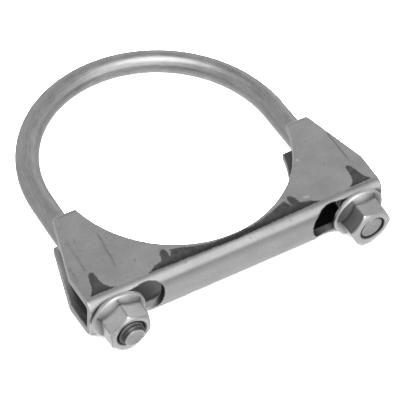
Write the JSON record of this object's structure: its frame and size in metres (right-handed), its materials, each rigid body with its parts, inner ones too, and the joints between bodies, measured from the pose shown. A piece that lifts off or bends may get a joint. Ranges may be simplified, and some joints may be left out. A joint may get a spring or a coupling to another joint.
{
  "type": "exhaust u-bolt clamp",
  "caption": "Muffler clamp: a threaded U-bolt whose legs pass through a stamped channel saddle, pulled up on a pipe by flange nuts.",
  "frame": {"origin": "centre of the saddle's pipe seat, midway between its flanges", "axes": "+Z along the clamped pipe, +Y from the saddle towards the bow of the U-bolt, +X from the left leg to the right leg"},
  "size_m": [0.1194, 0.122, 0.0204],
  "materials": {
    "drawn_bar": "drawn bar with lengthwise streaks, clear zinc",
    "stamped_sheet": "satin mill finish, scuffed, dark press marks beside the bends",
    "nut_steel": "satin zinc plate with turning marks"
  },
  "bodies": {
    "u_bolt": {"u_bolt": "drawn_bar"},
    "saddle": {"saddle": "stamped_sheet"},
    "nut_left": {"nut_left": "nut_steel"},
    "nut_right": {"nut_right": "nut_steel"}
  },
  "joints": [
    {"name": "saddle_slide", "type": "slide", "parent": "u_bolt", "child": "saddle", "axis": [0, 1, 0], "range_m": [-0.005, 0.0062]},
    {"name": "nut_left_turn", "type": "hinge", "parent": "saddle", "child": "nut_left", "pos_m": [-0.0489, -0.05525, 0], "axis": [0, 1, 0], "range_deg": [-1205, 1493]},
    {"name": "nut_right_turn", "type": "hinge", "parent": "saddle", "child": "nut_right", "pos_m": [0.0489, -0.05525, 0], "axis": [0, 1, 0], "range_deg": [-1205, 1493]}
  ],
  "couplings": [
    {"joint": "nut_left_turn", "follows": "saddle_slide", "rad_per_m": 4188.8},
    {"joint": "nut_right_turn", "follows": "saddle_slide", "rad_per_m": 4188.8}
  ]
}
